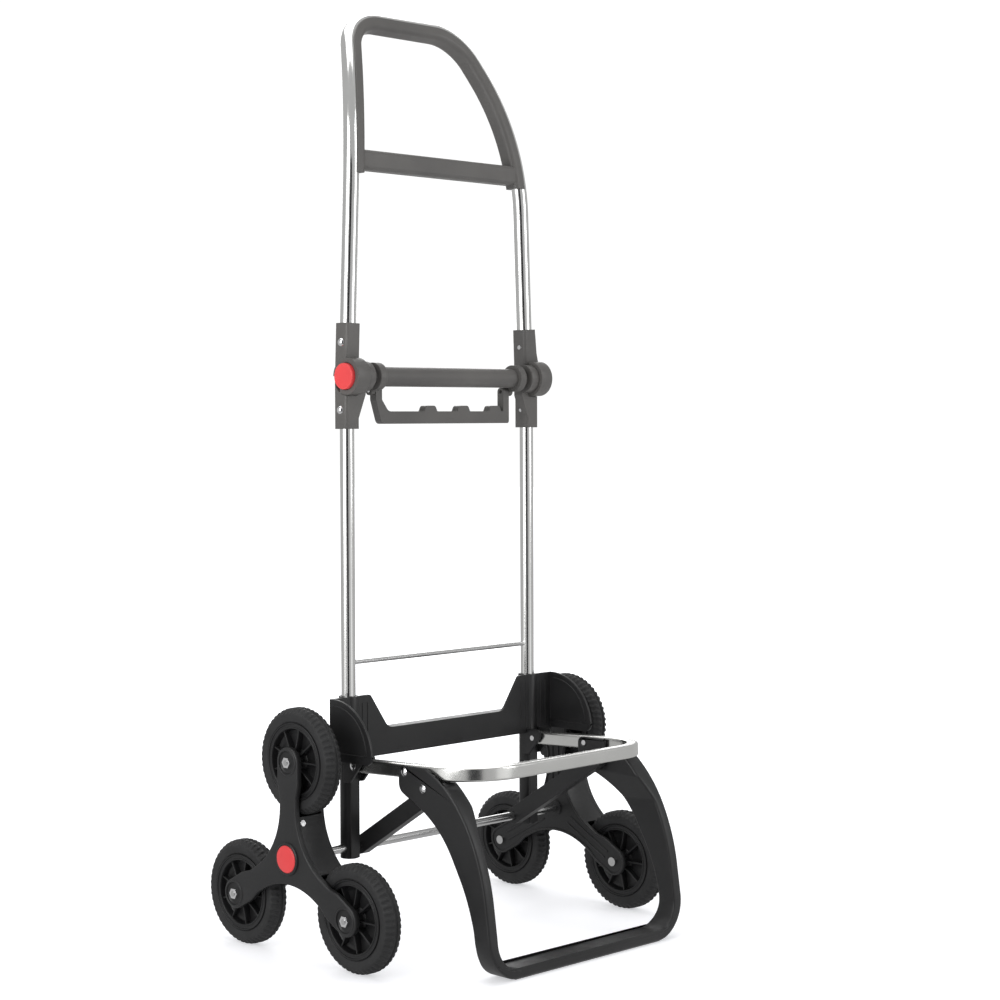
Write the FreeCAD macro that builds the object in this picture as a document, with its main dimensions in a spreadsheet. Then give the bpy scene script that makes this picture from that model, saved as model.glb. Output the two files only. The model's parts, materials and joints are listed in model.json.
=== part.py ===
import FreeCAD, Part
import math
import os
import re
import Sketcher
from FreeCAD import Placement, Rotation, Vector

# Folding shopping trolley frame with two stair-climbing tri-stars of three wheels each.
# X is the width (left is -X), -Y is the side where the bag stands, +Y is the side of the person, Z is up.
# The pieces are drawn about the main axle, which lies along X at Y = 0. Each one is then moved back by
# "setback", so that the origin is on the floor in the middle of the whole trolley.

SIZES = (
    ("wheel_radius", 58.0, "outer radius of a tyre"),
    ("orbit_radius", 104.3, "wheel centre from the main axle"),
    ("tyre_width", 23.0, "width of a tyre"),
    ("rim_radius", 42.0, "radius where the tyre sits on its rim"),
    ("wheel_plane", 217.5, "middle plane of the wheels from the middle of the trolley"),
    ("fork_inner", 197.0, "inboard face of the tri-star fork"),
    ("fork_outer", 238.0, "outboard face of the tri-star cover"),
    ("fork_wall", 3.5, "thickness of the tri-star plates"),
    ("wheel_gap", 0.3, "side play of a wheel between its bosses"),
    ("arm_half", 12.8, "half width of a tri-star arm at its waist"),
    ("arm_end", 16.3, "radius of a tri-star arm's end"),
    ("web_radius", 85.4, "radius of the hollow between two arms"),
    ("bolt_radius", 4.0, "wheel bolt"),
    ("axle_radius", 5.0, "main axle"),
    ("running_fit", 0.08, "radial play of a pin in its bearing"),
    ("tube_spacing", 146.5, "upright tube from the middle of the trolley"),
    ("tube_radius", 8.0, "lower upright tube"),
    ("tube_wall", 1.2, "wall of the upright tubes"),
    ("tube_bottom", 130.0, "lower end of the upright tube"),
    ("tube_top", 607.0, "upper end of the lower tube"),
    ("foot_radius", 10.0, "foot around the lower tube"),
    ("foot_bottom", 99.0, "underside of the foot"),
    ("bracket_bottom", 209.0, "underside of the base bracket"),
    ("bracket_top", 278.5, "top of the base bracket's shoulders"),
    ("bracket_beam", 239.0, "top of the base bracket's middle beam"),
    ("bracket_half", 180.5, "half width of the base bracket"),
    ("fender_radius", 61.0, "round front edge of the side fenders"),
    ("rod_radius", 2.5, "thin cross rod"),
    ("rod_height", 315.0, "height of the thin cross rod"),
    ("pivot_y", -17.5, "platform pivot"),
    ("pivot_z", 203.5, "platform pivot"),
    ("platform_tilt", 2.5, "rise of the open platform in degrees"),
    ("platform_spacing", 146.0, "middle of the platform arms"),
    ("platform_reach", 174.7, "platform pivot to the middle of the front bar"),
    ("platform_bend", 58.2, "radius of the platform corners on the middle line"),
    ("platform_tall", 15.0, "height of the platform section"),
    ("platform_thick", 13.5, "thickness of the platform section"),
    ("pin_radius", 3.0, "platform and leg pivot pins"),
    ("leg_reach", 225.0, "front of the leg's foot bar from the axle"),
    ("leg_half", 157.5, "half width of the leg loop"),
    ("leg_blade", 13.5, "width of the leg's side blade"),
    ("leg_pivot_y", -98.0, "leg pivot on the platform"),
    ("leg_pivot_z", 207.0, "leg pivot on the platform"),
    ("link_y", -126.2, "strut pivot on the leg"),
    ("link_z", 192.1, "strut pivot on the leg"),
    ("strut_tall", 19.0, "height of the strut section"),
    ("hinge_y", -11.0, "fold hinge of the handle"),
    ("hinge_z", 631.5, "fold hinge of the handle"),
    ("sleeve_half", 10.4, "half width of the square sleeves of the fold joint"),
    ("sleeve_bottom", 573.7, "lower end of the lower sleeve"),
    ("sleeve_top", 690.2, "upper end of the upper sleeve"),
    ("knuckle_radius", 20.5, "outboard knuckle"),
    ("knuckle_inner", 16.5, "inboard knuckle"),
    ("knuckle_split", 139.85, "plane between the two knuckles"),
    ("hinge_pin", 6.0, "hollow pin of the fold joint"),
    ("button_radius", 14.5, "release button"),
    ("button_travel", 4.5, "travel of the release button"),
    ("bar_radius", 11.0, "crossbar"),
    ("bar_half", 109.0, "half length of the crossbar"),
    ("collar_radius", 15.6, "collar of the crossbar"),
    ("comb_z", 616.0, "pivot of the carrying grip"),
    ("comb_y", -2.0, "pivot of the carrying grip"),
    ("handle_radius", 9.0, "tube of the handle"),
    ("handle_start", 655.0, "lower end of the handle tube"),
    ("handle_lean", 0.038, "inward lean of the handle tube, run over rise"),
    ("handle_top", 1042.4, "middle of the handle's top bar"),
    ("handle_back", 59.6, "set-back of the handle's top bar"),
)
NAMES = {name for name, value, note in SIZES}

doc = FreeCAD.newDocument("Trolley")
sheet = doc.addObject("Spreadsheet::Sheet", "Sizes")
for row, (name, value, note) in enumerate(SIZES, start=1):
    sheet.set(f"A{row}", name)
    sheet.set(f"B{row}", str(value))
    sheet.setAlias(f"B{row}", name)
    sheet.set(f"C{row}", note)
doc.recompute()


class Values:
    """The sheet's values as attributes, for placing pieces."""

    def __getattr__(self, name):
        return float(sheet.get(name))


v = Values()
rear_reach = v.orbit_radius * math.sin(math.radians(60)) + v.wheel_radius
setback = (v.leg_reach - rear_reach) / 2
hub_z = v.orbit_radius / 2 + v.wheel_radius
SIDES = (("left", -1), ("right", 1))
ALONG_X = Vector(1, 0, 0)
ALONG_Y = Vector(0, 1, 0)
ALONG_Z = Vector(0, 0, 1)
pieces = []


# ---------------------------------------------------------------- helpers

def bind(item, prop, formula):
    """Tie a property to a formula in which the sheet's aliases are plain words."""
    words = re.sub(r"[a-z_]{3,}", lambda m: "Sizes." + m.group() if m.group() in NAMES else m.group(), formula)
    item.setExpression(prop, words)


def keep(item, label, placement=None):
    """Name a finished piece after its node and put it in the trolley's frame."""
    item.Label = label
    move = Placement(Vector(0, setback, 0), Rotation())
    item.Placement = move.multiply(placement or item.Placement)
    pieces.append(item)
    return item


def cylinder(radius, length, start, direction=ALONG_Z):
    """Cylinder with its radius and length as formulas, from a point along a direction."""
    item = doc.addObject("Part::Cylinder", "Rod")
    bind(item, "Radius", radius)
    bind(item, "Height", length)
    item.Placement = Placement(start, Rotation(ALONG_Z, direction))
    return item


def box(low, high):
    """Box between two corners."""
    item = doc.addObject("Part::Box", "Block")
    item.Length = high[0] - low[0]
    item.Width = high[1] - low[1]
    item.Height = high[2] - low[2]
    item.Placement.Base = Vector(*low)
    return item


def fuse(*items):
    item = doc.addObject("Part::MultiFuse", "Join")
    item.Shapes = list(items)
    return item


def cut(base, *tools):
    item = doc.addObject("Part::Cut", "Trim")
    item.Base = base
    item.Tool = tools[0] if len(tools) == 1 else fuse(*tools)
    return item


def common(first, second):
    item = doc.addObject("Part::Common", "Overlap")
    item.Base = first
    item.Tool = second
    return item


def across(side, inner, outer):
    """Low and high X of a piece that lies between two distances from the middle, on one side."""
    return (inner, outer) if side > 0 else (-outer, -inner)


def cross_rod(side, inner, outer, y, z, radius):
    """Cylinder along X on one side, between two distances from the middle."""
    low, high = across(side, inner, outer)
    return cylinder(radius, str(high - low), Vector(low, y, z), ALONG_X)


def corner_curve(before, corner, after, radius):
    """Tangent points and arc that round the corner of two straight runs, in any plane."""
    back = (before - corner).normalize()
    ahead = (after - corner).normalize()
    half = back.getAngle(ahead) / 2
    reach = radius / math.tan(half)
    inward = (back + ahead).normalize()
    middle = corner + inward * (radius / math.sin(half) - radius)
    start = corner + back * reach
    finish = corner + ahead * reach
    return start, Part.Arc(start, middle, finish), finish


def rounded_outline(corners):
    """Closed outline of straight runs and tangent arcs, from corners (a, b, radius)."""
    points = [Vector(a, b, 0) for a, b, radius in corners]
    count = len(corners)
    ends = []
    for index, (a, b, radius) in enumerate(corners):
        if radius:
            ends.append(corner_curve(points[index - 1], points[index], points[(index + 1) % count], radius))
        else:
            ends.append((points[index], None, points[index]))
    curves = []
    for index, (start, arc, finish) in enumerate(ends):
        if arc:
            curves.append(arc)
        following = ends[(index + 1) % count][0]
        if (following - finish).Length > 1e-6:
            curves.append(Part.LineSegment(finish, following))
    return curves


def sketch_on(body, plane, offset, curves):
    """Sketch on one of the body's own origin planes, moved along the plane's normal."""
    sketch = body.newObject("Sketcher::SketchObject", "Outline")
    face = [item for item in body.Origin.OriginFeatures if item.Role == plane][0]
    sketch.AttachmentSupport = [(face, "")]
    sketch.MapMode = "FlatFace"
    bind(sketch, "AttachmentOffset.Base.z", offset)
    sketch.addGeometry(curves, False)
    total = len(curves)
    for first in range(total if total > 1 else 0):
        second = (first + 1) % total
        pairs = [(i, j) for i in (1, 2) for j in (1, 2)
                 if (sketch.getPoint(first, i) - sketch.getPoint(second, j)).Length < 1e-6]
        sketch.addConstraint(Sketcher.Constraint("Coincident", first, pairs[0][0], second, pairs[0][1]))
    return sketch


def pad(body, plane, low, high, curves, kind="PartDesign::Pad"):
    """Pad, or with kind Pocket cut, an outline between two formulas along the plane's normal."""
    sketch = sketch_on(body, plane, low, curves)
    feature = body.newObject(kind, "Slab")
    feature.Profile = sketch
    bind(feature, "Length", f"({high}) - ({low})")
    if kind == "PartDesign::Pocket":
        feature.Reversed = True
    return feature


def slab(plane, low, high, corners):
    """Flat piece with a rounded outline, as a body of its own."""
    body = doc.addObject("PartDesign::Body", "Slab")
    pad(body, plane, low, high, rounded_outline(corners))
    return body


def side_slab(side, inner, outer, corners):
    """Flat piece in the plane of the wheels, on one side, from corners (y, z, radius)."""
    low, high = across(side, inner, outer)
    return slab("YZ_Plane", str(low), str(high), corners)


def front_slab(front, back, corners):
    """Flat piece that faces the front, from corners (x, z, radius), between two Y values."""
    return slab("XZ_Plane", str(-back), str(-front), corners)


def mirrored(side, corners):
    """Corners of the right side, turned over for the left side."""
    return [(side * a, b, radius) for a, b, radius in corners]


def turned_body(corners):
    """Body turned about X from an outline (along X, radius, rounding)."""
    body = doc.addObject("PartDesign::Body", "Turned")
    sketch = sketch_on(body, "XY_Plane", "0", rounded_outline(corners))
    turn = body.newObject("PartDesign::Revolution", "Turn")
    turn.Profile = sketch
    turn.ReferenceAxis = (sketch, ["H_Axis"])
    turn.Angle = 360
    return body


def bent_wire(points, radii):
    """Open path of straight runs with tangent arcs at its inner points."""
    edges = []
    last = points[0]
    for before, corner, after, radius in zip(points, points[1:], points[2:], radii):
        start, arc, finish = corner_curve(before, corner, after, radius)
        edges.append(Part.LineSegment(last, start).toShape())
        edges.append(arc.toShape())
        last = finish
    edges.append(Part.LineSegment(last, points[-1]).toShape())
    return Part.Wire(edges)


def tube_along(wire, radius):
    """Round bar along a wire."""
    start = wire.OrderedVertexes[0].Point
    ahead = wire.OrderedVertexes[1].Point - start
    ring = Part.Wire(Part.makeCircle(radius, start, ahead))
    return wire.makePipeShell([ring], True, False)


def shaped(shape):
    """Piece whose shape no feature or primitive gives."""
    item = doc.addObject("Part::Feature", "Shaped")
    item.Shape = shape
    return item


def domed_rivets(spots, radius, head, dome):
    """Rivets turned about X with a domed head outboard; each spot is (side, inner, outer, y, z)."""
    solids = []
    for side, inner, outer, y, z in spots:
        corners = [Vector(outer + dome, 0, 0), Vector(inner, 0, 0), Vector(inner, radius, 0),
                   Vector(outer, radius, 0), Vector(outer, head, 0)]
        edges = [Part.LineSegment(a, b).toShape() for a, b in zip(corners, corners[1:])]
        bulge = (head * head + dome * dome) / (2 * dome)
        half = math.asin(head / bulge) / 2
        middle = Vector(outer + dome - bulge + bulge * math.cos(half), bulge * math.sin(half), 0)
        edges.append(Part.Arc(corners[-1], middle, corners[0]).toShape())
        rivet = Part.Face(Part.Wire(edges)).revolve(Vector(), ALONG_X, 360)
        if side < 0:
            rivet.rotate(Vector(), ALONG_Z, 180)
        rivet.translate(Vector(0, y, z))
        solids.append(Part.makeSolid(rivet) if rivet.ShapeType != "Solid" else rivet)
    return shaped(Part.makeCompound(solids))


# ---------------------------------------------------------------- wheels and tri-stars

def wheel_spots():
    """Wheel centres about the axle: one above, one behind and one in front of it."""
    for name, angle in (("upper", 90), ("rear", -30), ("front", 210)):
        turn = math.radians(angle)
        yield name, v.orbit_radius * math.cos(turn), hub_z + v.orbit_radius * math.sin(turn)


def tyre(label, centre):
    """Solid tyre with rounded shoulders."""
    half = v.tyre_width / 2
    body = turned_body((
        (-half, v.rim_radius, 0), (-half, v.wheel_radius, 7), (half, v.wheel_radius, 7), (half, v.rim_radius, 0)))
    keep(body, label, Placement(centre, Rotation()))


def rim(label, centre):
    """Rim with a thin web, a hub bored for the wheel bolt and nine ribs on each side."""
    hub_half = (v.fork_outer - v.fork_inner) / 2 - v.fork_wall - 2.7 - v.wheel_gap
    ring, ledge, web, hub = 36.5, 10.5, 2.0, 11.0
    bore = v.bolt_radius + v.running_fit
    half_outline = [(ledge, v.rim_radius), (ledge, ring), (web, ring), (web, hub), (hub_half, hub), (hub_half, bore)]
    other_half = [(-x, r) for x, r in reversed(half_outline)]
    body = turned_body([(x, r, 0) for x, r in half_outline + other_half])
    rib = pad(body, "YZ_Plane", "-8.5", "8.5",
              rounded_outline(((hub - 1, -1.2, 0), (ring + 1, -1.2, 0), (ring + 1, 1.2, 0), (hub - 1, 1.2, 0))))
    ribs = body.newObject("PartDesign::PolarPattern", "Ribs")
    ribs.Originals = [rib]
    axis = [item for item in body.Origin.OriginFeatures if item.Role == "X_Axis"][0]
    ribs.Axis = (axis, [""])
    ribs.Angle = 360
    ribs.Occurrences = 9
    body.Tip = ribs
    keep(body, label, Placement(centre, Rotation()))


def star_outline():
    """Three arms with round ends, joined by wide round hollows."""
    corners = []
    shoulder = v.orbit_radius - 24
    waist = shoulder - 13
    for angle in (90, 210, 330):
        turn = math.radians(angle)
        ahead = (math.cos(turn), math.sin(turn))
        left = (-ahead[1], ahead[0])
        valley = v.arm_half / math.tan(math.radians(60))
        tip = v.orbit_radius + v.arm_end
        local = ((valley, -v.arm_half, v.web_radius), (waist, -v.arm_half, 12), (shoulder, -v.arm_end, 12),
                 (tip, -v.arm_end, v.arm_end - 0.01), (tip, v.arm_end, v.arm_end - 0.01),
                 (shoulder, v.arm_end, 12), (waist, v.arm_half, 12))
        corners += [(a * ahead[0] + b * left[0], a * ahead[1] + b * left[1], radius) for a, b, radius in local]
    return rounded_outline(corners)


def wall_outline(angle):
    """Curved strip along the hollow between two arms."""
    reach = (v.web_radius + v.arm_half) / math.sin(math.radians(60))
    turn = math.radians(angle)
    centre = Vector(reach * math.cos(turn), reach * math.sin(turn), 0)
    spread = 23

    def at(radius, offset):
        bearing = turn + math.pi + math.radians(offset)
        return centre + Vector(radius * math.cos(bearing), radius * math.sin(bearing), 0)

    near = v.web_radius
    far = v.web_radius + 2.6
    return [
        Part.Arc(at(near, -spread), at(near, 0), at(near, spread)),
        Part.LineSegment(at(near, spread), at(far, spread)),
        Part.Arc(at(far, spread), at(far, 0), at(far, -spread)),
        Part.LineSegment(at(far, -spread), at(near, -spread)),
    ]


def wall_screws(side):
    """Places of the wall screws beside the cover, each with the way that its head faces."""
    reach = (v.web_radius + v.arm_half) / math.sin(math.radians(60))
    for angle in (30, 150, 270):
        turn = math.radians(angle)
        bearing = turn + math.pi + math.radians(18.5)
        centre = Vector(0, reach * math.cos(turn), reach * math.sin(turn))
        outward = Vector(0, -math.cos(bearing), -math.sin(bearing))
        place = Vector(side * (v.fork_outer - 9), 0, hub_z) + centre - outward * v.web_radius
        yield place, outward


def tri_star(side_name, side):
    """Fork, cover, cap, bolts, nuts, screws and three wheels of one side."""
    hub = Vector(0, 0, hub_z)
    inner, outer, wall = v.fork_inner, v.fork_outer, v.fork_wall
    boss = 2.7
    spots = list(wheel_spots())

    low, high = across(side, inner, inner + wall)
    plate = doc.addObject("PartDesign::Body", "Fork")
    pad(plate, "YZ_Plane", str(low), str(high), star_outline())
    plate.Placement.Base = hub
    walls = []
    low, high = across(side, inner + wall, outer - wall)
    for angle in (30, 150, 270):
        strip = doc.addObject("PartDesign::Body", "Wall")
        pad(strip, "YZ_Plane", str(low), str(high), wall_outline(angle))
        strip.Placement.Base = hub
        walls.append(strip)
    hub_tube = cross_rod(side, inner - 2, outer - 7, 0, hub_z, "axle_radius + 4")
    bosses = [cross_rod(side, inner, inner + wall + boss, y, z, "bolt_radius + 6") for name, y, z in spots]
    holes = [cross_rod(side, inner - 1, outer, y, z, "bolt_radius") for name, y, z in spots]
    bore = cross_rod(side, inner - 5, outer + 5, 0, hub_z, "axle_radius + running_fit")
    screw_holes = [cylinder("2", "10", place - outward * 9.5, outward) for place, outward in wall_screws(side)]
    keep(cut(fuse(plate, hub_tube, *walls, *bosses), bore, *holes, *screw_holes), f"tristar_fork_{side_name}")

    low, high = across(side, outer - wall, outer)
    face = doc.addObject("PartDesign::Body", "Cover")
    pad(face, "YZ_Plane", str(low), str(high), star_outline())
    face.Placement.Base = hub
    bosses = [cross_rod(side, outer - wall - boss, outer - 1, y, z, "bolt_radius + 6") for name, y, z in spots]
    holes = [cross_rod(side, inner, outer, y, z, "bolt_radius") for name, y, z in spots]
    recesses = [cross_rod(side, outer - 2, outer + 1, y, z, "arm_end - 3.3") for name, y, z in spots]
    centre_hole = cross_rod(side, outer - wall - 1, outer + 1, 0, hub_z, "13.5")
    keep(cut(fuse(face, *bosses), centre_hole, *holes, *recesses), f"tristar_cover_{side_name}")

    cap = turned_body((
        (-side * 3, 11.5, 0), (-side * 3, 13.5, 0), (0, 13.5, 0), (0, 16.4, 0),
        (side * 2.4, 16.4, 1.5), (side * 3.2, 0, 0), (side * 1.2, 0, 0), (side * 0.6, 11.5, 0)))
    keep(cap, f"hub_cap_{side_name}", Placement(Vector(side * outer, 0, hub_z), Rotation()))

    bolts = []
    nuts = []
    for name, y, z in spots:
        low, high = across(side, inner, outer - 2)
        shank = Part.makeCylinder(v.bolt_radius, high - low, Vector(low, y, z), ALONG_X)
        low, high = across(side, outer - 2, outer + 2.4)
        thread = Part.makeCylinder(3, high - low, Vector(low, y, z), ALONG_X)
        low, high = across(side, inner - 3.4, inner)
        head = Part.makeCylinder(5.2, high - low, Vector(low, y, z), ALONG_X)
        bolts.append(shank.fuse([thread, head]).removeSplitter())
        low, high = across(side, outer - 2, outer + 1.8)
        hexagon = [Vector(low, y + 6.2 * math.cos(math.radians(60 * k)), z + 6.2 * math.sin(math.radians(60 * k)))
                   for k in range(7)]
        nut = Part.Face(Part.makePolygon(hexagon)).extrude(Vector(high - low, 0, 0))
        nuts.append(nut.cut(Part.makeCylinder(3, high - low, Vector(low, y, z), ALONG_X)))
    keep(shaped(Part.makeCompound(bolts)), f"wheel_bolts_{side_name}")
    keep(shaped(Part.makeCompound(nuts)), f"wheel_nuts_{side_name}")

    screws = []
    for place, outward in wall_screws(side):
        shank = Part.makeCylinder(2, 9, place - outward * 9, outward)
        head = Part.makeCylinder(3.4, 1.6, place + outward * 0.1, outward)
        neck = Part.makeCylinder(2, 1.0, place - outward * 0.5, outward)
        screws.append(shank.fuse([neck, head]).removeSplitter())
    keep(shaped(Part.makeCompound(screws)), f"wall_screws_{side_name}")

    for name, y, z in spots:
        centre = Vector(side * v.wheel_plane, y, z)
        rim(f"rim_{name}_{side_name}", centre)
        tyre(f"tyre_{name}_{side_name}", centre)


# ---------------------------------------------------------------- frame

def foot(side_name, side):
    """Foot moulding: a socket for the tube, a front rib, the axle bearing and the cheeks of the platform pivot."""
    x = side * v.tube_spacing
    socket = cylinder("foot_radius", "bracket_bottom - foot_bottom", Vector(x, 0, v.foot_bottom))
    rib = side_slab(side, v.tube_spacing - 6.5, v.tube_spacing + 6.5, (
        (-10, v.foot_bottom, 2), (0, v.foot_bottom, 0), (0, v.bracket_bottom, 0),
        (-8, v.bracket_bottom, 0), (-8, 190, 4), (-10, 184, 4)))
    cheek = ((-30, 214, 3), (-30, 205, 3), (-12, 184, 4), (-2, 184, 0), (-2, v.bracket_bottom, 0),
             (-9.4, v.bracket_bottom, 0), (-9.4, 214, 0))
    cheeks = [side_slab(side, inner, inner + 3, cheek) for inner in (134.8, 154.2)]
    web = box((min(side * 134.8, side * 157.2), -9.2, 184), (max(side * 134.8, side * 157.2), -2, 209))
    bore = cylinder("tube_radius", "100", Vector(x, 0, v.tube_bottom))
    axle_hole = cross_rod(side, 100, 200, 0, hub_z, "axle_radius")
    pin_hole = cross_rod(side, 130, 170, v.pivot_y, v.pivot_z, "pin_radius")
    keep(cut(fuse(socket, rib, web, *cheeks), bore, axle_hole, pin_hole), f"foot_{side_name}")


def base_bracket():
    """Wide moulding across the two tubes, with a quarter-round fender at each end."""
    low, top, beam, half = v.bracket_bottom, v.bracket_top, v.bracket_beam, v.bracket_half
    right = [(94, beam, 14), (121.5, top, 5), (half, top, 1), (half, low, 4)]
    left = [(-a, b, radius) for a, b, radius in reversed(right)]
    face = front_slab(-9, -6, right + left)
    bottom_rib = box((-170, -9, low), (170, 9, low + 3))
    beam_rib = box((-120, -9, beam - 3), (120, 6, beam))
    parts = [face, bottom_rib, beam_rib]
    holes = []
    for name, side in SIDES:
        x = side * v.tube_spacing
        parts.append(cylinder("tube_radius + 3", "bracket_top - bracket_bottom", Vector(x, 0, low)))
        parts.append(side_slab(side, half - 3, half, (
            (-6, top, 0), (-11 - v.fender_radius, top, v.fender_radius), (-11 - v.fender_radius, 212, 9), (-6, 212, 0))))
        holes.append(cylinder("tube_radius", "200", Vector(x, 0, low - 50)))
    keep(cut(fuse(*parts), *holes), "base_bracket")


def lower_tube(side_name, side):
    """Round upright tube with a hole for the thin cross rod."""
    x = side * v.tube_spacing
    outside = cylinder("tube_radius", "tube_top - tube_bottom", Vector(x, 0, v.tube_bottom))
    inside = cylinder("tube_radius - tube_wall", "tube_top - tube_bottom", Vector(x, 0, v.tube_bottom))
    rod_hole = cross_rod(side, v.tube_spacing - 12, v.tube_spacing, 0, v.rod_height, "rod_radius")
    rivet_hole = cross_rod(side, 130, 165, 0, 594.5, "2.5")
    keep(cut(outside, inside, rod_hole, rivet_hole), f"lower_tube_{side_name}")


def rods():
    """Main axle with its push nuts, and the thin cross rod."""
    end = v.fork_outer - 2.5
    keep(cylinder("axle_radius", "2 * (fork_outer - 2.5)", Vector(-end, 0, hub_z), ALONG_X), "main_axle")
    nuts = [cross_rod(side, v.fork_outer - 6, v.fork_outer - 3.5, 0, hub_z, "axle_radius + 4") for name, side in SIDES]
    hole = cylinder("axle_radius", "2 * fork_outer", Vector(-v.fork_outer, 0, hub_z), ALONG_X)
    keep(cut(fuse(*nuts), hole), "axle_push_nuts")
    reach = v.tube_spacing - 4
    keep(cylinder("rod_radius", "2 * (tube_spacing - 4)", Vector(-reach, 0, v.rod_height), ALONG_X), "cross_rod")


# ---------------------------------------------------------------- fold joint

def square_sleeve(base, length, turn):
    """Square bar with rounded corners, from the middle of its lower end."""
    half = v.sleeve_half
    body = slab("XY_Plane", "0", length, ((-half, -half, 4), (half, -half, 4), (half, half, 4), (-half, half, 4)))
    body.Placement = Placement(base, turn)
    return body


def fold_joint(side_name, side):
    """Sleeves, knuckles, rivets, hollow pin, button, plunger and spring of one side."""
    x = side * v.tube_spacing
    y, z = v.hinge_y, v.hinge_z
    split = v.knuckle_split

    sleeve = square_sleeve(Vector(x, 0, v.sleeve_bottom), "hinge_z - sleeve_bottom - 0.3", Rotation())
    knuckle = cross_rod(side, 127.5, split - 0.15, y, z, "knuckle_inner")
    gusset = front_slab(-v.sleeve_half, 2, mirrored(side, (
        (split - 0.15, 582, 0), (127.5, 612, 4), (127.5, z, 0), (split - 0.15, z, 0))))
    swing_room = cross_rod(side, split, 175, y, z, "knuckle_radius + 0.4")
    tube_bore = cylinder("tube_radius", "tube_top - sleeve_bottom + 10", Vector(x, 0, v.sleeve_bottom - 10))
    pin_bore = cross_rod(side, 110, 170, y, z, "hinge_pin")
    rivet_bore = cross_rod(side, 120, 170, 0, 594.5, "2.5")
    lower = cut(fuse(sleeve, knuckle, gusset), swing_room, tube_bore, pin_bore, rivet_bore)
    keep(lower, f"lower_sleeve_{side_name}")

    base = handle_point(side, z + 0.5)
    top = handle_point(side, v.sleeve_top)
    lean = (top - base).normalize()
    sleeve = square_sleeve(base, "sleeve_top - hinge_z - 0.5", Rotation(ALONG_Z, lean))
    knuckle = cross_rod(side, split + 0.15, 158, y, z, "knuckle_radius")
    gusset = front_slab(0.6 - v.sleeve_half, 2, mirrored(side, (
        (148, z + 6, 0), (158, z + 6, 0), (158, 648, 6), (154.4, 662, 4), (152, 686, 2), (144, 686, 0))))
    still_room = cross_rod(side, 110, split + 0.15, y, z, "knuckle_inner + 0.4")
    flat_end = box((min(side * 110, side * 175), -1, z - 30), (max(side * 110, side * 175), 40, z + 0.5))
    tube_bore = cylinder("handle_radius", "60", handle_point(side, v.handle_start), lean)
    pin_bore = cross_rod(side, 130, 148, y, z, "hinge_pin + running_fit")
    pocket = cross_rod(side, 146.5, 175, y, z, "button_radius + 0.5")
    rivet_bore = cross_rod(side, 120, 170, 0, 669, "2.5")
    upper = cut(fuse(sleeve, knuckle, gusset), still_room, flat_end, tube_bore, pin_bore, pocket, rivet_bore)
    keep(upper, f"upper_sleeve_{side_name}")

    pin = cross_rod(side, 118.5, 146.3, y, z, "hinge_pin")
    hollow = cross_rod(side, 118, 150, y, z, "hinge_pin - 1.7")
    keep(cut(pin, hollow), f"hinge_pin_{side_name}")

    skirt, face, dish = 151.5, 162.9, 160.4
    rim_corner = (side * face, v.button_radius, 1.2)
    button = turned_body((
        (side * skirt, v.button_radius, 0), rim_corner, (side * (face - 0.6), 10.5, 0), (side * (face - 0.6), 0, 0),
        (side * dish, 0, 0), (side * dish, v.button_radius - 2, 0), (side * skirt, v.button_radius - 2, 0)))
    keep(button, f"release_button_{side_name}", Placement(Vector(0, y, z), Rotation()))
    plunger = cross_rod(side, 130, dish, y, z, "hinge_pin - 2")
    keep(plunger, f"button_plunger_{side_name}")

    low, high = across(side, 147.4, dish - v.button_travel - 0.9)
    turns, radius, steps = 4, 8, 12
    rise = (high - low) / (turns * steps)
    points = [Vector(low + rise * k, radius * math.cos(2 * math.pi * k / steps), radius * math.sin(2 * math.pi * k / steps))
              for k in range(turns * steps + 1)]
    coil = tube_along(bent_wire(points, [6.5] * (len(points) - 2)), 0.6)
    spring = shaped(coil)
    spring.Placement = Placement(Vector(0, y, z), Rotation())
    keep(spring, f"button_spring_{side_name}")


def sleeve_rivets():
    """Rivets that hold the tubes in the sleeves of the fold joints."""
    upper_middle = handle_point(1, 669).x
    for label, z, middle, play in (("lower_rivets", 594.5, v.tube_spacing, 0), ("upper_rivets", 669, upper_middle, 0.15)):
        reach = v.sleeve_half + play
        spots = [(side, middle - reach, middle + reach, 0, z) for name, side in SIDES]
        keep(domed_rivets(spots, 2.5, 4.8, 2.9), label)


def crossbar():
    """Round bar between the two fold joints, with a stepped collar at each end."""
    y, z = v.hinge_y, v.hinge_z
    keep(cylinder("bar_radius", "2 * bar_half", Vector(-v.bar_half, y, z), ALONG_X), "crossbar")
    for side_name, side in SIDES:
        ring = cross_rod(side, v.bar_half, 118.5, y, z, "collar_radius")
        core = cross_rod(side, 118.5, 127.5, y, z, "bar_radius - 2")
        lug = side_slab(side, v.bar_half + 0.4, 115, (
            (v.comb_y - 5, z - 12, 0), (v.comb_y - 5, v.comb_z - 5, 4.9),
            (v.comb_y + 5, v.comb_z - 5, 4.9), (v.comb_y + 5, z - 6, 0), (y, z, 0)))
        pin_bore = cross_rod(side, 117.5, 130, y, z, "hinge_pin")
        comb_bore = cross_rod(side, 100, 120, v.comb_y, v.comb_z, "2")
        keep(cut(fuse(ring, core, lug), pin_bore, comb_bore), f"crossbar_collar_{side_name}")
    pins = [cross_rod(side, 103, 115.6, v.comb_y, v.comb_z, "2") for name, side in SIDES]
    keep(fuse(*pins), "comb_pins")


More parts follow.
